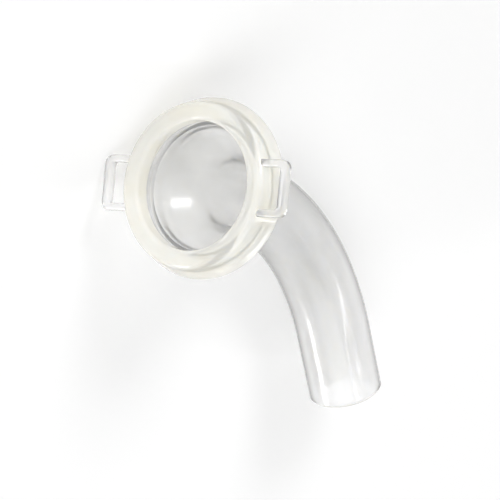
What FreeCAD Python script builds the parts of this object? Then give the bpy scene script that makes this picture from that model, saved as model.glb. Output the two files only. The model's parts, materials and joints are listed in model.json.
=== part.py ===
import FreeCAD, Part
import math
import os
import re
import Sketcher

# Driving sizes, in millimetres and degrees
# The tube is one soft moulding: a socket ring, a shield, a curved shaft and two strap loops.
SIZES = [
    ("socket_radius", 11.0, "socket that takes a 22 mm cassette"),
    ("socket_depth", 3.0, "plain bore of the socket, behind the mouth"),
    ("groove_cut", 0.45, "depth of the snap groove behind that bore"),
    ("groove_width", 1.6, "width of the snap groove"),
    ("seat_step", 0.3, "how far the cup behind the groove is narrower than the bore"),
    ("cup_length", 2.6, "cup behind the groove"),
    ("cup_draft", 0.55, "how much the cup narrows over its length"),
    ("funnel_length", 4.2, "funnel from the cup to the throat"),
    ("throat_step", 0.45, "how much wider than the lumen the throat begins"),
    ("throat_length", 1.1, "throat, where the funnel flattens into the lumen"),
    ("rim_width", 3.0, "face of the ring at the mouth"),
    ("ring_flare", 1.75, "how much wider the ring is at its back"),
    ("ring_depth", 5.4, "depth of the ring"),
    ("shield_wall", 1.4, "wall of the shield behind the ring"),
    ("shield_lag", 0.6, "how far the shield's outer corners lie behind its inner ones"),
    ("neck_straight", 1.2, "straight shaft between the shield and the bend"),
    ("lumen_radius", 5.5, "bore of the shaft"),
    ("shaft_wall", 1.25, "wall of the shaft"),
    ("bend_radius", 42.8, "centreline of the bend"),
    ("bend_angle", 59.5, "turn of the bend"),
    ("tip_straight", 12.5, "straight shaft between the bend and the tip"),
    ("loop_reach", 4.6, "how far a strap loop stands out from the face of the ring"),
    ("loop_half_height", 4.8, "half the height of a strap loop"),
    ("loop_leg", 1.3, "width of the two legs of a loop"),
    ("loop_bar", 1.5, "width of the outer bar of a loop"),
    ("loop_thickness", 1.8, "thickness of a loop, along the socket"),
    ("loop_setback", 0.4, "distance of a loop behind the mouth"),
    ("loop_root", 1.4, "distance of a loop's buried root from the socket wall"),
    ("loop_corner", 1.5, "round of a loop's outer corners"),
    ("slot_corner", 0.6, "round of a slot's corners"),
    ("loop_bevel", 0.35, "bevel along the outer edges of a loop"),
    ("rim_round", 1.2, "round of the ring's front outer edge"),
    ("mouth_bevel", 0.5, "bevel of the socket's mouth"),
    ("back_bevel", 0.7, "bevel of the ring's back edge"),
    ("shield_round", 1.6, "round of the shield's shoulder"),
    ("neck_round", 1.6, "hollow round from the shield to the shaft"),
    ("tip_bevel", 0.7, "bevel of the tip's outer edge"),
]

# Distance under which two places count as one, in millimetres
NEAR = 0.001

doc = FreeCAD.newDocument("laryngectomy_tube")

sheet = doc.addObject("Spreadsheet::Sheet", "Sizes")
for row, (alias, value, note) in enumerate(SIZES, 1):
    sheet.set(f"A{row}", alias)
    sheet.set(f"B{row}", str(value))
    sheet.set(f"C{row}", note)
    sheet.setAlias(f"B{row}", alias)
doc.recompute()


def number(formula):
    """The value of named sizes joined by plus and minus signs."""
    total = 0.0
    for sign, alias in re.findall(r"([+-]?)\s*([a-z_]+)", formula):
        total += -sheet.get(alias) if sign == "-" else sheet.get(alias)
    return total


def minus(formula):
    """The same formula with every sign turned."""
    terms = re.findall(r"([+-]?)\s*([a-z_]+)", formula)
    turned = " ".join(f"{'+' if sign == '-' else '-'} {alias}" for sign, alias in terms)
    return turned.removeprefix("+ ")


def bound(formula):
    """The same formula as an expression on the cells of the sheet."""
    return re.sub(r"([a-z_]+)", r"Sizes.\1", formula)


def origin_plane(body, role):
    """One of the body's own origin planes."""
    return next(feature for feature in body.Origin.OriginFeatures if feature.Role == role)


def sketch_on(body, name, role):
    """A sketch of the body, attached to one of its origin planes."""
    sketch = body.newObject("Sketcher::SketchObject", name)
    sketch.AttachmentSupport = [(origin_plane(body, role), "")]
    sketch.MapMode = "FlatFace"
    return sketch


def fix(sketch, kind, references, formula):
    """Adds a dimension and binds it to the sheet."""
    index = sketch.addConstraint(Sketcher.Constraint(kind, *references, number(formula)))
    sketch.setExpression(f"Constraints[{index}]", bound(formula))


def place(sketch, point, x, y):
    """Holds a point at two formulas; a formula of 0 puts it on that axis."""
    if x == "0":
        sketch.addConstraint(Sketcher.Constraint("PointOnObject", *point, -2))
    else:
        fix(sketch, "DistanceX", (-1, 1, *point), x)
    if y == "0":
        sketch.addConstraint(Sketcher.Constraint("PointOnObject", *point, -1))
    else:
        fix(sketch, "DistanceY", (-1, 1, *point), y)


def outline(sketch, corners):
    """Draws a closed outline. A corner is a formula each for x and y, and a third one rounds it."""
    points = [FreeCAD.Vector(number(corner[0]), number(corner[1]), 0) for corner in corners]
    count = len(points)
    starts = list(points)
    ends = list(points)
    arcs = {}
    for i in range(count):
        if len(corners[i]) < 3:
            continue
        back = (points[i - 1] - points[i]).normalize()
        ahead = (points[(i + 1) % count] - points[i]).normalize()
        half = back.getAngle(ahead) / 2
        radius = number(corners[i][2])
        starts[i] = points[i] + ahead * (radius / math.tan(half))
        ends[i] = points[i] + back * (radius / math.tan(half))
        centre = points[i] + (back + ahead).normalize() * (radius / math.sin(half))
        left_turn = back.cross(ahead).z < 0
        first, last = (ends[i], starts[i]) if left_turn else (starts[i], ends[i])
        from_angle = math.atan2(first.y - centre.y, first.x - centre.x)
        to_angle = math.atan2(last.y - centre.y, last.x - centre.x)
        if to_angle < from_angle:
            to_angle += 2 * math.pi
        round_circle = Part.Circle(centre, FreeCAD.Vector(0, 0, 1), radius)
        arcs[i] = (Part.ArcOfCircle(round_circle, from_angle, to_angle), left_turn)
    lines = []
    for i in range(count):
        line = Part.LineSegment(starts[i], ends[(i + 1) % count])
        lines.append(sketch.addGeometry(line, False))
    for i in range(count):
        before = lines[i - 1]
        after = lines[i]
        if i not in arcs:
            sketch.addConstraint(Sketcher.Constraint("Coincident", before, 2, after, 1))
            place(sketch, (after, 1), *corners[i])
            continue
        arc, left_turn = arcs[i]
        arc = sketch.addGeometry(arc, False)
        corner = sketch.addGeometry(Part.Point(points[i]), True)
        sketch.addConstraint(Sketcher.Constraint("Tangent", before, 2, arc, 1 if left_turn else 2))
        sketch.addConstraint(Sketcher.Constraint("Tangent", after, 1, arc, 2 if left_turn else 1))
        sketch.addConstraint(Sketcher.Constraint("PointOnObject", corner, 1, before))
        sketch.addConstraint(Sketcher.Constraint("PointOnObject", corner, 1, after))
        place(sketch, (corner, 1), *corners[i][:2])
        fix(sketch, "Radius", (arc,), corners[i][2])


def circle(sketch, formula):
    """Draws a circle about the sketch's origin."""
    curve = Part.Circle(FreeCAD.Vector(), FreeCAD.Vector(0, 0, 1), number(formula))
    index = sketch.addGeometry(curve, False)
    sketch.addConstraint(Sketcher.Constraint("Coincident", index, 3, -1, 1))
    fix(sketch, "Radius", (index,), formula)


def bevel_edges(body, name, edges, size):
    """Bevels the named edges of the body's tip."""
    base = body.Tip
    feature = body.newObject("PartDesign::Chamfer", name)
    feature.Base = (base, edges)
    feature.setExpression("Size", bound(size))
    doc.recompute()


def edge_names(shape, wanted):
    """Names of the edges of a shape that a test accepts."""
    return [f"Edge{index}" for index, edge in enumerate(shape.Edges, 1) if wanted(edge)]


def rims(shape, radius, centre):
    """The round edges of one radius about one point."""
    def wanted(edge):
        curve = edge.Curve
        if not isinstance(curve, Part.Circle):
            return False
        return abs(curve.Radius - number(radius)) < NEAR and curve.Center.distanceToPoint(centre) < NEAR
    return edge_names(shape, wanted)


def face_edges(shape, depths):
    """The edges that lie flat at one of some depths behind the mouth."""
    def wanted(edge):
        box = edge.BoundBox
        return any(abs(box.XMin - depth) < NEAR and abs(box.XMax - depth) < NEAR for depth in depths)
    return edge_names(shape, wanted)


tube = doc.addObject("PartDesign::Body", "laryngectomy_tube")
tube.Label = "laryngectomy_tube"
doc.recompute()

# Depths and radii that several features share
# Depth runs from the plane of the mouth along X, and the shaft bends towards Z.
RING_FACE = "socket_radius + rim_width"
RING_BACK = RING_FACE + " + ring_flare"
GROOVE_END = "socket_depth + groove_width"
CUP_END = GROOVE_END + " + cup_length"
FUNNEL_END = CUP_END + " + funnel_length"
THROAT_END = FUNNEL_END + " + throat_length"
SHIELD_CORNER = CUP_END + " + shield_lag"
SHIELD_END = FUNNEL_END + " + shield_lag"
BEND_START = SHIELD_END + " + neck_straight"
CUP_MOUTH = "socket_radius - seat_step"
CUP_FLOOR = CUP_MOUTH + " - cup_draft"
SHIELD = CUP_FLOOR + " + shield_wall"
SHAFT = "lumen_radius + shaft_wall"

# Strap loops: a bevelled plate with a slot near each end, whose middle the socket later removes
LOOP_END = RING_FACE + " + loop_reach"
SLOT_END = LOOP_END + " - loop_bar"
SLOT_START = "socket_radius + loop_root"
SLOT_TOP = "loop_half_height - loop_leg"
plate_profile = sketch_on(tube, "plate_profile", "YZ_Plane")
outline(plate_profile, [
    (minus(LOOP_END), minus("loop_half_height"), "loop_corner"),
    (LOOP_END, minus("loop_half_height"), "loop_corner"),
    (LOOP_END, "loop_half_height", "loop_corner"),
    (minus(LOOP_END), "loop_half_height", "loop_corner"),
])
plate_profile.setExpression("AttachmentOffset.Base.z", "Sizes.loop_setback")
plate = tube.newObject("PartDesign::Pad", "plate")
plate.Profile = plate_profile
plate.setExpression("Length", "Sizes.loop_thickness")
doc.recompute()
plate_faces = (number("loop_setback"), number("loop_setback + loop_thickness"))
bevel_edges(tube, "plate_edges", face_edges(plate.Shape, plate_faces), "loop_bevel")

slot_profile = sketch_on(tube, "slot_profile", "YZ_Plane")
for near, far in ((SLOT_START, SLOT_END), (minus(SLOT_END), minus(SLOT_START))):
    outline(slot_profile, [
        (near, minus(SLOT_TOP), "slot_corner"),
        (far, minus(SLOT_TOP), "slot_corner"),
        (far, SLOT_TOP, "slot_corner"),
        (near, SLOT_TOP, "slot_corner"),
    ])
slots = tube.newObject("PartDesign::Pocket", "slots")
slots.Profile = slot_profile
slots.Type = "ThroughAll"
slots.Reversed = True
doc.recompute()
if slots.Shape.Volume >= plate.Shape.Volume:
    raise RuntimeError("the slots cut nothing")

# Ring, shield and neck: one profile turned about the socket's axis
head_profile = sketch_on(tube, "head_profile", "XZ_Plane")
outline(head_profile, [
    ("0", "0"),
    (BEND_START, "0"),
    (BEND_START, SHAFT),
    (SHIELD_END, SHAFT, "neck_round"),
    (SHIELD_CORNER, SHIELD, "shield_round"),
    ("ring_depth", SHIELD),
    ("ring_depth", RING_BACK),
    ("0", RING_FACE, "rim_round"),
])
head = tube.newObject("PartDesign::Revolution", "head")
head.Profile = head_profile
head.ReferenceAxis = (head_profile, ["H_Axis"])
head.Angle = 360
doc.recompute()
ring_centre = FreeCAD.Vector(sheet.get("ring_depth"), 0, 0)
bevel_edges(tube, "back_edge", rims(head.Shape, RING_BACK, ring_centre), "back_bevel")

# Shaft: a round section carried along a straight, a bend and a straight
shaft_path = sketch_on(tube, "shaft_path", "XZ_Plane")
start = FreeCAD.Vector(number(BEND_START), 0, 0)
turn = math.radians(sheet.get("bend_angle"))
centre = start + FreeCAD.Vector(0, sheet.get("bend_radius"), 0)
along = FreeCAD.Vector(math.cos(turn), math.sin(turn), 0)
bend_end = centre + FreeCAD.Vector(math.sin(turn), -math.cos(turn), 0) * sheet.get("bend_radius")
tip_end = bend_end + along * sheet.get("tip_straight")
tip_point = FreeCAD.Vector(tip_end.x, 0, tip_end.y)
neck_line = shaft_path.addGeometry(Part.LineSegment(FreeCAD.Vector(), start), False)
bend_circle = Part.Circle(centre, FreeCAD.Vector(0, 0, 1), sheet.get("bend_radius"))
bend_arc = shaft_path.addGeometry(Part.ArcOfCircle(bend_circle, -math.pi / 2, turn - math.pi / 2), False)
tip_line = shaft_path.addGeometry(Part.LineSegment(bend_end, tip_end), False)
shaft_path.addConstraint(Sketcher.Constraint("Coincident", neck_line, 1, -1, 1))
shaft_path.addConstraint(Sketcher.Constraint("Horizontal", neck_line))
shaft_path.addConstraint(Sketcher.Constraint("Tangent", neck_line, 2, bend_arc, 1))
shaft_path.addConstraint(Sketcher.Constraint("Tangent", bend_arc, 2, tip_line, 1))
fix(shaft_path, "DistanceX", (-1, 1, neck_line, 2), BEND_START)
fix(shaft_path, "Radius", (bend_arc,), "bend_radius")
span = shaft_path.addConstraint(Sketcher.Constraint("Angle", bend_arc, turn))
shaft_path.setExpression(f"Constraints[{span}]", "Sizes.bend_angle * 1 deg")
fix(shaft_path, "Distance", (tip_line,), "tip_straight")

shaft_section = sketch_on(tube, "shaft_section", "YZ_Plane")
circle(shaft_section, SHAFT)
doc.recompute()
shaft = tube.newObject("PartDesign::AdditivePipe", "shaft")
shaft.Profile = shaft_section
shaft.Spine = (shaft_path, ["Edge1", "Edge2", "Edge3"])
doc.recompute()

# Socket, snap groove, cup, funnel and throat: cut out of the head by one profile
socket_profile = sketch_on(tube, "socket_profile", "XZ_Plane")
outline(socket_profile, [
    ("0", "0"),
    ("0", "socket_radius"),
    ("socket_depth", "socket_radius"),
    ("socket_depth", "socket_radius + groove_cut"),
    (GROOVE_END, "socket_radius + groove_cut"),
    (GROOVE_END, CUP_MOUTH),
    (CUP_END, CUP_FLOOR),
    (FUNNEL_END, "lumen_radius + throat_step"),
    (THROAT_END, "lumen_radius"),
    (THROAT_END, "0"),
])
socket = tube.newObject("PartDesign::Groove", "socket")
socket.Profile = socket_profile
socket.ReferenceAxis = (socket_profile, ["H_Axis"])
socket.Angle = 360
doc.recompute()
if socket.Shape.Volume >= shaft.Shape.Volume:
    raise RuntimeError("the socket cut nothing")

# Lumen: a narrower section on the same path as the shaft
lumen_section = sketch_on(tube, "lumen_section", "YZ_Plane")
circle(lumen_section, "lumen_radius")
doc.recompute()
lumen = tube.newObject("PartDesign::SubtractivePipe", "lumen")
lumen.Profile = lumen_section
lumen.Spine = (shaft_path, ["Edge1", "Edge2", "Edge3"])
doc.recompute()
if lumen.Shape.Volume >= socket.Shape.Volume:
    raise RuntimeError("the lumen cut nothing")

# The socket's mouth and the tip's outer edge are bevelled
bevel_edges(tube, "mouth_edge", rims(lumen.Shape, "socket_radius", FreeCAD.Vector()), "mouth_bevel")
bevel_edges(tube, "tip_edge", rims(tube.Tip.Shape, SHAFT, tip_point), "tip_bevel")

# Resting place: on the backs of the ring and the bend, held from rolling by one loop
# The plane that touches the three is found from the finished surface, in turns of their lowest points.
MESH_STEP = 0.02
TURNS = 30


def lowest(points, down):
    """The point that lies furthest along a direction."""
    return max(points, key=down.dot)


def resting_direction(groups, down):
    """The direction, out of the part, of the plane that touches all three groups of points."""
    for _ in range(TURNS):
        a, b, c = (lowest(points, down) for points in groups)
        normal = (b - a).cross(c - a).normalize()
        down = normal if normal.dot(down) > 0 else -normal
    return down


surface = tube.Shape.tessellate(MESH_STEP)[0]
ring_back = number(RING_BACK)
loop_points = [point for point in surface if point.y < -ring_back]
ring_points = [point for point in surface if 0 < point.x < number("ring_depth") and abs(point.y) < ring_back]
shaft_points = [point for point in surface if point.x > number(BEND_START)]
on_its_side = FreeCAD.Vector(0.4, -0.7, -0.6)
down = resting_direction((loop_points, ring_points, shaft_points), on_its_side)

# The floor is level, and the socket's axis points along X when seen from above
forward = FreeCAD.Vector(1, 0, 0)
forward = (forward - down * down.dot(forward)).normalize()
turned = FreeCAD.Rotation(forward, FreeCAD.Vector(), -down, "ZXY").inverted()
rested = FreeCAD.BoundBox()
for point in surface:
    rested.add(turned.multVec(point))
tube.Placement = FreeCAD.Placement(-FreeCAD.Vector(rested.Center.x, rested.Center.y, rested.ZMin), turned)
doc.recompute()

# Nothing is written unless every object and the finished solid are sound
for feature in doc.Objects:
    if "Invalid" in feature.State or "Error" in feature.State:
        raise RuntimeError(f"{feature.Name} failed: {feature.State}")
if tube.Shape.isNull() or not tube.Shape.isValid() or len(tube.Shape.Solids) != 1:
    raise RuntimeError("the tube is not one sound solid")

os.makedirs("parts", exist_ok=True)
tube.Shape.exportStep(f"parts/{tube.Label}.step")
print(f"volume {tube.Shape.Volume:.1f} mm3, down {down}, box {tube.Shape.BoundBox}")
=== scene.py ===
"""A laryngectomy tube of clear silicone, lying on its side on a white table under soft studio light."""

import json
import math

import bpy
import numpy as np
from mathutils import Matrix, Vector


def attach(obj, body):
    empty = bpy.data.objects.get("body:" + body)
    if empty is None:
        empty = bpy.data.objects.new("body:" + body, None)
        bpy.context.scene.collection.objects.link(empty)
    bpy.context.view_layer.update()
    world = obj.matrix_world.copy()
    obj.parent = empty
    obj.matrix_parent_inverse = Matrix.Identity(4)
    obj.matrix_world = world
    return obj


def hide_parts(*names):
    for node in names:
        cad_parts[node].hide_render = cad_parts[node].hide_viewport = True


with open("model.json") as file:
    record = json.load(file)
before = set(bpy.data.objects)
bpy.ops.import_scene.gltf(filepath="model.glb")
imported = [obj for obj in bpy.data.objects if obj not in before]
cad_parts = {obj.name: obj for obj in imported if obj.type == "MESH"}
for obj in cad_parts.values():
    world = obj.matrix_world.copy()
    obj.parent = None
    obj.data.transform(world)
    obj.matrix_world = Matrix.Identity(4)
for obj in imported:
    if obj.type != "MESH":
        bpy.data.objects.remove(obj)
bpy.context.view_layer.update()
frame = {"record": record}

# Where the tube lies: its own axes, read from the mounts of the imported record
# Depth runs from the plane of the mouth into the socket, the shaft bends towards `bend_side`, and the tube is its
# own mirror image across it. Sizes are in millimetres until they are placed.
MM = 0.001
SOCKET_MOUNT_DEPTH = 1.75
mounts = {mount["name"]: mount for mount in frame["record"]["mounts"]}
depth_axis = -np.array(mounts["socket"]["axis"])
mouth = np.array(mounts["socket"]["pos_m"]) - depth_axis * SOCKET_MOUNT_DEPTH * MM
bend_side = np.array(mounts["ring_face"]["pos_m"]) - mouth
bend_side /= np.linalg.norm(bend_side)
across = np.cross(bend_side, depth_axis)
tube_axes = np.stack([depth_axis, across, bend_side])


def placed(points):
    """Points of (depth, across, bend side) in millimetres, turned and moved to where the tube lies, in metres."""
    return mouth + points @ tube_axes * MM


def closed_grid(points):
    """Vertices and four-sided faces of a grid of points that closes on itself both ways, as a torus does."""
    rows, columns = points.shape[:2]
    row, column = np.meshgrid(np.arange(rows), np.arange(columns), indexing="ij")
    below, beside = (row + 1) % rows, (column + 1) % columns
    faces = np.stack([row * columns + column, below * columns + column, below * columns + beside,
                      row * columns + beside], axis=-1)
    return points.reshape(-1, 3), faces.reshape(-1, 4)


def new_piece(name, vertices, faces):
    """A mesh object made from arrays, with its place in its mesh."""
    mesh = bpy.data.meshes.new(name)
    mesh.from_pydata(vertices.tolist(), [], faces.tolist())
    mesh.validate()
    piece = bpy.data.objects.new(name, mesh)
    bpy.context.collection.objects.link(piece)
    return piece


# Tube: socket ring, shield and curved shaft, one soft moulding of clear silicone
# One closed profile of the wall is carried round the tube's centreline, which is straight through the socket, bends,
# and is straight again at the tip. Every moulded edge is rounded.
SOCKET = 11.0
SOCKET_DEPTH = 3.0
GROOVE = 11.45
GROOVE_END = 4.6
CUP_MOUTH = 10.7
CUP_END = 7.2
CUP_FLOOR = 10.15
FUNNEL_END = 11.4
THROAT_STEP = 0.45
LUMEN = 5.5
SHAFT = 6.75
RING_FACE = 14.0
RING_BACK = 15.75
RING_DEPTH = 5.4
SHIELD = 11.55
SHIELD_CORNER = 7.8
SHIELD_END = 12.0
BEND_START = 13.2
BEND_RADIUS = 42.8
BEND_ANGLE = math.radians(59.5)
TIP_STRAIGHT = 12.5
TIP = BEND_START + BEND_RADIUS * BEND_ANGLE + TIP_STRAIGHT
TIP_BEVEL = 0.7
WALL_STEP = 1.0
ARC_STEPS = 9
ROUND_STEPS = 192

# depth, radius and round of each corner of the wall, from the mouth outwards and back along the inside
wall_corners = np.array([
    (0.0, SOCKET, 0.8),
    (0.0, RING_FACE, 1.2),
    (RING_DEPTH, RING_BACK, 0.69),
    (RING_DEPTH, SHIELD, 0.8),
    (SHIELD_CORNER, SHIELD, 1.6),
    (SHIELD_END, SHAFT, 4.0),
    (TIP - TIP_BEVEL, SHAFT, 0.4),
    (TIP, SHAFT - TIP_BEVEL, 0.3),
    (TIP, LUMEN, 0.25),
    (FUNNEL_END + THROAT_STEP, LUMEN, 5.0),
    (CUP_END, CUP_FLOOR, 4.5),
    (GROOVE_END, CUP_MOUTH, 0.2),
    (GROOVE_END, GROOVE, 0.15),
    (SOCKET_DEPTH, GROOVE, 0.15),
    (SOCKET_DEPTH, SOCKET, 0.2),
])


def rounded(corners, steps):
    """A closed outline with an arc at each corner. The arc's centre lies on the bisector of the corner, at the round
    divided by the sine of half the corner's angle, and the arc turns evenly between its two tangent points."""
    point, radius = corners[:, :2], corners[:, 2]
    back = np.roll(point, 1, axis=0) - point
    ahead = np.roll(point, -1, axis=0) - point
    back /= np.linalg.norm(back, axis=1)[:, None]
    ahead /= np.linalg.norm(ahead, axis=1)[:, None]
    middle = back + ahead
    middle /= np.linalg.norm(middle, axis=1)[:, None]
    half = np.arccos((back * ahead).sum(axis=1)) / 2
    centre = point + middle * (radius / np.sin(half))[:, None]
    first = point + back * (radius / np.tan(half))[:, None] - centre
    last = point + ahead * (radius / np.tan(half))[:, None] - centre
    turn = (math.pi - 2 * half)[:, None]
    share = np.linspace(0, 1, steps)
    from_first = np.sin((1 - share) * turn) / np.sin(turn)
    from_last = np.sin(share * turn) / np.sin(turn)
    arcs = centre[:, None] + from_first[..., None] * first[:, None] + from_last[..., None] * last[:, None]
    return arcs.reshape(-1, 2)


def divided(outline, step):
    """A closed outline with points added evenly along each stretch that is longer than the step."""
    stretch = np.roll(outline, -1, axis=0) - outline
    parts = np.maximum(np.ceil(np.linalg.norm(stretch, axis=1) / step), 1).astype(int)
    owner = np.repeat(np.arange(len(outline)), parts)
    number = np.arange(parts.sum()) - np.repeat(np.cumsum(parts) - parts, parts)
    return outline[owner] + (number / parts[owner])[:, None] * stretch[owner]


def centreline(distance):
    """Points of the centreline and its normals towards the bend side, at distances from the mouth. The angle turned is
    the distance into the bend divided by its radius, held between none and the whole bend, and what is left over runs
    straight on."""
    turned = np.clip((distance - BEND_START) / BEND_RADIUS, 0, BEND_ANGLE)
    beyond = distance - BEND_START - BEND_RADIUS * turned
    flat = np.zeros_like(distance)
    points = np.stack([
        BEND_START + BEND_RADIUS * np.sin(turned) + beyond * np.cos(turned),
        flat,
        BEND_RADIUS * (1 - np.cos(turned)) + beyond * np.sin(turned),
    ], axis=-1)
    return points, np.stack([-np.sin(turned), flat, np.cos(turned)], axis=-1)


def carried(profile, count):
    """The profile turned about the centreline: from each centre, its radius times the cosine of the angle along the
    normal, and times the sine of the angle across."""
    centre, normal = centreline(profile[:, 0])
    angle = np.linspace(0, 2 * math.pi, count, endpoint=False)
    sideways = np.array([0.0, 1.0, 0.0])
    spokes = np.cos(angle)[:, None] * normal[:, None] + np.sin(angle)[:, None] * sideways
    return centre[:, None] + profile[:, 1, None, None] * spokes


wall = divided(rounded(wall_corners, ARC_STEPS), WALL_STEP)
tube = new_piece("silicone_tube", *closed_grid(placed(carried(wall, ROUND_STEPS))))

# Silicone: clear in the thin walls, milky and cream in the thick ring, with a smooth satin skin
# The outer wall, the ring and the bore are three finishes of the one moulding, because the haze of the thick ring
# scatters light, and the bore's darker tint is painted shade inside the tube. All have the same skin: satin patches, a
# faint waviness, and clouds where the haze is denser.
moulded_skin = bpy.data.node_groups.new("moulded_skin", "ShaderNodeTree")
for socket_name, kind, value in [
    ("Clear Tint", "NodeSocketColor", (0.95, 0.95, 0.95, 1)),
    ("Cloud Tint", "NodeSocketColor", (0.9, 0.9, 0.88, 1)),
    ("Cloud Size", "NodeSocketFloat", 90.0),
    ("Roughness", "NodeSocketFloat", 0.1),
    ("Roughness Spread", "NodeSocketFloat", 0.06),
    ("Wave Height", "NodeSocketFloat", 0.00004),
]:
    moulded_skin.interface.new_socket(socket_name, in_out="INPUT", socket_type=kind).default_value = value
moulded_skin.interface.new_socket("Color", in_out="OUTPUT", socket_type="NodeSocketColor")
moulded_skin.interface.new_socket("Roughness", in_out="OUTPUT", socket_type="NodeSocketFloat")
moulded_skin.interface.new_socket("Normal", in_out="OUTPUT", socket_type="NodeSocketVector")
CLOUD_DETAIL = 3
CLOUD_ROUGHNESS = 0.55
CLOUD_START = 0.35
CLOUD_FULL = 0.7
PATCH_SIZE = 420.0
PATCH_DETAIL = 4
PATCH_MIDDLE = 0.5
WAVE_SIZE = 260.0
WAVE_DETAIL = 1
nodes, links = moulded_skin.nodes, moulded_skin.links
given, put_out = nodes.new("NodeGroupInput"), nodes.new("NodeGroupOutput")
spot = nodes.new("ShaderNodeTexCoord")
clouds = nodes.new("ShaderNodeTexNoise")
clouds.inputs["Detail"].default_value = CLOUD_DETAIL
clouds.inputs["Roughness"].default_value = CLOUD_ROUGHNESS
denser = nodes.new("ShaderNodeMapRange")
denser.interpolation_type = "SMOOTHSTEP"
denser.inputs["From Min"].default_value = CLOUD_START
denser.inputs["From Max"].default_value = CLOUD_FULL
tints = nodes.new("ShaderNodeMix")
tints.data_type = "RGBA"
patches = nodes.new("ShaderNodeTexNoise")
patches.inputs["Scale"].default_value = PATCH_SIZE
patches.inputs["Detail"].default_value = PATCH_DETAIL
centred = nodes.new("ShaderNodeMath")
centred.operation = "SUBTRACT"
centred.inputs[1].default_value = PATCH_MIDDLE
spread = nodes.new("ShaderNodeMath")
spread.operation = "MULTIPLY_ADD"
waves = nodes.new("ShaderNodeTexNoise")
waves.inputs["Scale"].default_value = WAVE_SIZE
waves.inputs["Detail"].default_value = WAVE_DETAIL
relief = nodes.new("ShaderNodeBump")
relief.inputs["Strength"].default_value = 1.0
links.new(spot.outputs["Object"], clouds.inputs["Vector"])
links.new(spot.outputs["Object"], patches.inputs["Vector"])
links.new(spot.outputs["Object"], waves.inputs["Vector"])
links.new(given.outputs["Cloud Size"], clouds.inputs["Scale"])
links.new(clouds.outputs["Fac"], denser.inputs["Value"])
links.new(denser.outputs["Result"], tints.inputs["Factor"])
links.new(given.outputs["Clear Tint"], tints.inputs["A"])
links.new(given.outputs["Cloud Tint"], tints.inputs["B"])
links.new(tints.outputs["Result"], put_out.inputs["Color"])
links.new(patches.outputs["Fac"], centred.inputs[0])
links.new(centred.outputs["Value"], spread.inputs[0])
links.new(given.outputs["Roughness Spread"], spread.inputs[1])
links.new(given.outputs["Roughness"], spread.inputs[2])
links.new(spread.outputs["Value"], put_out.inputs["Roughness"])
links.new(waves.outputs["Fac"], relief.inputs["Height"])
links.new(given.outputs["Wave Height"], relief.inputs["Distance"])
links.new(relief.outputs["Normal"], put_out.inputs["Normal"])


def silicone(name, clear, clear_tint, cloud_tint, edge_shade_share, haze_reach, roughness):
    """Silicone that lets a share of the light straight in and scatters the rest, and takes a tint on the way. Light
    that is inside it goes on to the next skin with no haze. Where it is seen edge on, its colour turns greyer, as
    painted shade. Lamps shine through it, so its shadow is pale."""
    material = bpy.data.materials.new(name)
    material.use_nodes = True
    nodes, links = material.node_tree.nodes, material.node_tree.links
    skin, output = nodes["Principled BSDF"], nodes["Material Output"]
    surface = nodes.new("ShaderNodeGroup")
    surface.node_tree = moulded_skin
    surface.inputs["Clear Tint"].default_value = (*clear_tint, 1)
    surface.inputs["Cloud Tint"].default_value = (*cloud_tint, 1)
    surface.inputs["Roughness"].default_value = roughness
    # painted shade: where the surface is seen edge on, its colour is mixed towards a grey edge tint
    facing = nodes.new("ShaderNodeLayerWeight")
    facing.inputs["Blend"].default_value = EDGE_SHADE_BLEND
    edge = nodes.new("ShaderNodeMapRange")
    edge.interpolation_type = "SMOOTHSTEP"
    edge.inputs["From Min"].default_value = EDGE_SHADE_START
    edge.inputs["From Max"].default_value = EDGE_SHADE_END
    edge.inputs["To Max"].default_value = edge_shade_share
    edge_shaded_colour = nodes.new("ShaderNodeMix")
    edge_shaded_colour.data_type = "RGBA"
    edge_shaded_colour.inputs["B"].default_value = (*PAINTED_EDGE_SHADE, 1)
    links.new(facing.outputs["Facing"], edge.inputs["Value"])
    links.new(edge.outputs["Result"], edge_shaded_colour.inputs["Factor"])
    links.new(surface.outputs["Color"], edge_shaded_colour.inputs["A"])
    links.new(edge_shaded_colour.outputs["Result"], skin.inputs["Base Color"])
    links.new(surface.outputs["Roughness"], skin.inputs["Roughness"])
    links.new(surface.outputs["Normal"], skin.inputs["Normal"])
    skin.inputs["IOR"].default_value = SILICONE_IOR
    skin.inputs["Transmission Weight"].default_value = clear
    skin.inputs["Subsurface Weight"].default_value = 1.0
    skin.inputs["Subsurface Radius"].default_value = HAZE_COLOURS
    skin.inputs["Subsurface Scale"].default_value = haze_reach
    inner = nodes.new("ShaderNodeBsdfGlass")
    inner.inputs["IOR"].default_value = SILICONE_IOR
    links.new(surface.outputs["Roughness"], inner.inputs["Roughness"])
    links.new(surface.outputs["Normal"], inner.inputs["Normal"])
    side = nodes.new("ShaderNodeNewGeometry")
    either = nodes.new("ShaderNodeMixShader")
    links.new(side.outputs["Backfacing"], either.inputs["Fac"])
    links.new(skin.outputs["BSDF"], either.inputs[1])
    links.new(inner.outputs["BSDF"], either.inputs[2])
    lit = nodes.new("ShaderNodeBsdfTransparent")
    lit.inputs["Color"].default_value = (*LAMP_PASS, 1)
    path = nodes.new("ShaderNodeLightPath")
    lamp_through = nodes.new("ShaderNodeMixShader")
    links.new(path.outputs["Is Shadow Ray"], lamp_through.inputs["Fac"])
    links.new(either.outputs["Shader"], lamp_through.inputs[1])
    links.new(lit.outputs["BSDF"], lamp_through.inputs[2])
    links.new(lamp_through.outputs["Shader"], output.inputs["Surface"])
    return material


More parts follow.
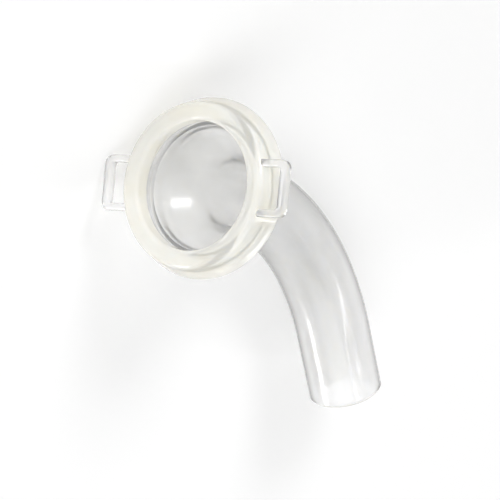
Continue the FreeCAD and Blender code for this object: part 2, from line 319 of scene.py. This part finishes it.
SILICONE_IOR = 1.41
HAZE_COLOURS = (1.0, 0.95, 0.85)
LAMP_PASS = (0.45, 0.45, 0.44)
# painted shade: the grey that the colour turns to where a surface is seen edge on
EDGE_SHADE_BLEND = 0.5
EDGE_SHADE_START = 0.4
EDGE_SHADE_END = 0.85
PAINTED_EDGE_SHADE = (0.4, 0.4, 0.39)
FINISHES = [
    # name, clear share, tint where clear, tint in the clouds, share of painted edge shade, reach of the haze,
    # roughness
    ("silicone_wall", 0.72, (0.94, 0.94, 0.94), (0.89, 0.89, 0.88), 1.0, 0.002, 0.1),
    ("silicone_ring", 0.34, (0.94, 0.92, 0.85), (0.9, 0.87, 0.775), 0.15, 0.004, 0.12),
    # the bore's tints are darker than the wall's, as painted shade inside the groove, the cup and the lumen
    ("silicone_bore_painted_shade", 0.6, (0.78, 0.78, 0.78), (0.72, 0.72, 0.71), 0.0, 0.002, 0.22),
]
for finish in FINISHES:
    tube.data.materials.append(silicone(*finish))

# the ring and the tip's face are hazy, and the groove, the cup and the lumen have the bore's finish, with painted
# shade
WALL_SLOT, RING_SLOT, BORE_SHADE_SLOT = 0, 1, 2
DEPTH_MARGIN = 0.01
row_middle = (wall + np.roll(wall, -1, axis=0)) / 2
row_inside = np.arange(len(wall)) >= np.argmax(wall[:, 0])
row_past_socket = row_inside & (row_middle[:, 0] > SOCKET_DEPTH - DEPTH_MARGIN)
row_in_ring = (row_middle[:, 0] < RING_DEPTH + DEPTH_MARGIN) & ~row_past_socket
row_at_tip = row_middle[:, 0] > TIP - TIP_BEVEL
row_material = np.where(row_in_ring | row_at_tip, RING_SLOT, np.where(row_inside, BORE_SHADE_SLOT, WALL_SLOT))
tube.data.polygons.foreach_set("material_index", np.repeat(row_material, ROUND_STEPS))

# Strap loops: one at each side of the ring, moulded with it, for the ends of a neck strap
# Each is a U of rounded section with its two legs sunk into the ring, joined to it as one solid.
LOOP_END = 18.6
LOOP_HALF_HEIGHT = 4.8
LOOP_CORNER = 1.5
SLOT_END = 17.1
SLOT_HALF_HEIGHT = 3.5
SLOT_CORNER = 0.6
LOOP_ROOT = 12.4
LOOP_FRONT = 0.4
LOOP_BACK = 2.2
LOOP_ROUND = 0.5
LOOP_LINE_STEPS = 9
LOOP_SECTION_STEPS = 6


def u_line(end, half_height, corner, steps):
    """The outline of a U lying open towards the socket's axis: a leg, a quarter turn, the bar, a quarter turn and a
    leg."""
    turn = np.linspace(-math.pi / 2, 0, steps)
    leg = np.stack([np.linspace(LOOP_ROOT, end - corner, steps), np.full(steps, -half_height)], axis=-1)
    bend = np.stack([end - corner + corner * np.cos(turn), corner - half_height + corner * np.sin(turn)], axis=-1)
    lower = np.concatenate([leg, bend[1:]])
    return np.concatenate([lower, (lower * (1, -1))[::-1]])


def loop_section(inner, outer, steps):
    """A rounded rectangle at each station, from the inner line to the outer one and from the loop's front to its back:
    the four corners' centres, moved by the round times the cosine and sine of the angle."""
    width = np.linalg.norm(outer - inner, axis=1)[:, None]
    outward = (outer - inner) / width
    angle = np.linspace(0, math.pi / 2, steps)[None] + np.arange(4)[:, None] * math.pi / 2
    far = np.array([1, 0, 0, 1])[:, None]
    deep = np.array([1, 1, 0, 0])[:, None]
    along = LOOP_ROUND + far * (width[..., None] - 2 * LOOP_ROUND) + LOOP_ROUND * np.cos(angle)
    along = along.reshape(len(width), -1)
    depth = (LOOP_FRONT + LOOP_ROUND + deep * (LOOP_BACK - LOOP_FRONT - 2 * LOOP_ROUND)
             + LOOP_ROUND * np.sin(angle)).reshape(-1)
    spot = inner[:, None] + along[..., None] * outward[:, None]
    return np.concatenate([np.broadcast_to(depth[None, :, None], along.shape + (1,)), spot], axis=-1)


def capped_run(points):
    """Vertices and faces of a run of closed sections, with a flat face over each end."""
    stations, count = points.shape[:2]
    row, column = np.meshgrid(np.arange(stations - 1), np.arange(count), indexing="ij")
    beside = (column + 1) % count
    sides = np.stack([row * count + column, row * count + beside, (row + 1) * count + beside,
                      (row + 1) * count + column], axis=-1).reshape(-1, 4)
    ends = [list(range(count))[::-1], list(range((stations - 1) * count, stations * count))]
    return points.reshape(-1, 3), sides.tolist() + ends


outer_line = u_line(LOOP_END, LOOP_HALF_HEIGHT, LOOP_CORNER, LOOP_LINE_STEPS)
inner_line = u_line(SLOT_END, SLOT_HALF_HEIGHT, SLOT_CORNER, LOOP_LINE_STEPS)
loop_points = loop_section(inner_line, outer_line, LOOP_SECTION_STEPS)
for side in (1, -1):
    vertices, faces = capped_run(placed(loop_points * (1, side, side)))
    mesh = bpy.data.meshes.new("strap_loop")
    mesh.from_pydata(vertices.tolist(), [], faces)
    loop = bpy.data.objects.new("strap_loop", mesh)
    bpy.context.collection.objects.link(loop)
    union = tube.modifiers.new("strap_loop", "BOOLEAN")
    union.operation = "UNION"
    union.solver = "EXACT"
    union.object = loop
    bpy.context.view_layer.objects.active = tube
    bpy.ops.object.modifier_apply(modifier=union.name)
    bpy.data.objects.remove(loop)

SHARP_EDGE = math.radians(40)
tube.data.shade_smooth()
tube.data.set_sharp_from_angle(angle=SHARP_EDGE)

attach(tube, "root")
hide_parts("laryngectomy_tube")

# Table: a white sheet under the tube, which keeps its soft shadow
# What the camera and the silicone see of it is the lit sheet and a little white on top, so that it reaches white.
TABLE_REACH = 6.0
TABLE_WHITE = 0.85
TABLE_GLOW = 0.18
table_corners = np.array([(-1, -1, 0), (1, -1, 0), (1, 1, 0), (-1, 1, 0)]) * TABLE_REACH
table = new_piece("table", table_corners, np.array([[0, 1, 2, 3]]))
table_paint = bpy.data.materials.new("table_paint")
table_paint.use_nodes = True
nodes, links = table_paint.node_tree.nodes, table_paint.node_tree.links
nodes.remove(nodes["Principled BSDF"])
sheet = nodes.new("ShaderNodeBsdfDiffuse")
sheet.inputs["Color"].default_value = (TABLE_WHITE, TABLE_WHITE, TABLE_WHITE, 1)
glow = nodes.new("ShaderNodeEmission")
path = nodes.new("ShaderNodeLightPath")
seen = nodes.new("ShaderNodeMath")
seen.operation = "MAXIMUM"
seen_too = nodes.new("ShaderNodeMath")
seen_too.operation = "MAXIMUM"
strength = nodes.new("ShaderNodeMath")
strength.operation = "MULTIPLY"
strength.inputs[1].default_value = TABLE_GLOW
both = nodes.new("ShaderNodeAddShader")
links.new(path.outputs["Is Camera Ray"], seen.inputs[0])
links.new(path.outputs["Is Glossy Ray"], seen.inputs[1])
links.new(seen.outputs["Value"], seen_too.inputs[0])
links.new(path.outputs["Is Transmission Ray"], seen_too.inputs[1])
links.new(seen_too.outputs["Value"], strength.inputs[0])
links.new(strength.outputs["Value"], glow.inputs["Strength"])
links.new(sheet.outputs["BSDF"], both.inputs[0])
links.new(glow.outputs["Emission"], both.inputs[1])
links.new(both.outputs["Shader"], nodes["Material Output"].inputs["Surface"])
table.data.materials.append(table_paint)

# Camera: the photograph's angle on the tube
# It is held on the tube's own axes, as turned from the front of the mouth, because the tube lies on its side here.
VIEW_TURN = math.radians(33.6)
VIEW_RISE = math.radians(-3.4)
VIEW_ROLL = math.radians(5.4)
VIEW_DISTANCE = 397.0
VIEW_SHIFT = (-10.01, 10.90)
VIEW_WIDTH = math.radians(12)
SENSOR = 36.0
NEAREST = 0.01
FARTHEST = 20.0

back = np.array([
    -math.cos(VIEW_TURN) * math.cos(VIEW_RISE),
    math.sin(VIEW_TURN) * math.cos(VIEW_RISE),
    -math.sin(VIEW_RISE),
])
level = np.cross(-back, (0.0, 0.0, -1.0))
level /= np.linalg.norm(level)
upright = np.cross(level, -back)
right = level * math.cos(VIEW_ROLL) + upright * math.sin(VIEW_ROLL)
up = upright * math.cos(VIEW_ROLL) - level * math.sin(VIEW_ROLL)
eye = back * VIEW_DISTANCE - right * VIEW_SHIFT[0] - up * VIEW_SHIFT[1]
lens = bpy.data.cameras.new("camera")
lens.sensor_width = SENSOR
lens.lens = SENSOR / 2 / math.tan(VIEW_WIDTH / 2)
lens.clip_start = NEAREST
lens.clip_end = FARTHEST
camera = bpy.data.objects.new("camera", lens)
bpy.context.collection.objects.link(camera)
turned = np.stack([right, up, back]) @ tube_axes
camera.matrix_world = Matrix.LocRotScale(Vector(placed(eye)), Matrix(turned.T.tolist()), None)
bpy.context.scene.camera = camera

# Light: a big soft lamp overhead, a key lamp that throws the pale shadow, and strips for the long highlights
# The room is pale, a little darker overhead, and white where it is seen behind the table.
LAMPS = [
    # name, direction from the tube, distance, width, height, strength in watts
    ("overhead", (0.0, -0.45, 0.9), 1.5, 1.5, 1.5, 7.5),
    ("key", (-0.4, 0.8, 0.45), 2.0, 0.5, 0.5, 15.0),
    ("shaft_strip", (0.55, 0.17, 0.82), 1.5, 0.08, 1.2, 2.5),
    ("low_strip", (-0.3, -0.93, 0.2), 1.5, 0.6, 0.3, 6.0),
]
for name, direction, distance, width, height, power in LAMPS:
    lamp = bpy.data.lights.new(name, "AREA")
    lamp.shape = "ELLIPSE"
    lamp.size = width
    lamp.size_y = height
    lamp.energy = power
    holder = bpy.data.objects.new(name, lamp)
    bpy.context.collection.objects.link(holder)
    towards = Vector(direction).normalized()
    holder.matrix_world = Matrix.LocRotScale(towards * distance, towards.to_track_quat("Z", "Y"), None)

ROOM_LIGHT = 0.4
ROOM_SEEN_LOW = 1.0
ROOM_SEEN_HIGH = 0.6
ROOM_DARKENS_FROM = 0.2
ROOM_DARKENS_TO = 0.8
room = bpy.data.worlds.new("room")
room.use_nodes = True
bpy.context.scene.world = room
nodes, links = room.node_tree.nodes, room.node_tree.links
outlook = nodes.new("ShaderNodeTexCoord")
steepness = nodes.new("ShaderNodeSeparateXYZ")
seen = nodes.new("ShaderNodeMapRange")
seen.interpolation_type = "SMOOTHSTEP"
seen.inputs["From Min"].default_value = ROOM_DARKENS_FROM
seen.inputs["From Max"].default_value = ROOM_DARKENS_TO
seen.inputs["To Min"].default_value = ROOM_SEEN_LOW
seen.inputs["To Max"].default_value = ROOM_SEEN_HIGH
path = nodes.new("ShaderNodeLightPath")
strength = nodes.new("ShaderNodeMix")
strength.inputs["B"].default_value = ROOM_LIGHT
links.new(outlook.outputs["Generated"], steepness.inputs["Vector"])
links.new(steepness.outputs["Z"], seen.inputs["Value"])
links.new(path.outputs["Is Diffuse Ray"], strength.inputs["Factor"])
links.new(seen.outputs["Result"], strength.inputs["A"])
links.new(strength.outputs["Result"], nodes["Background"].inputs["Strength"])
nodes["Background"].inputs["Color"].default_value = (1, 1, 1, 1)

bpy.context.scene.view_settings.view_transform = "Standard"
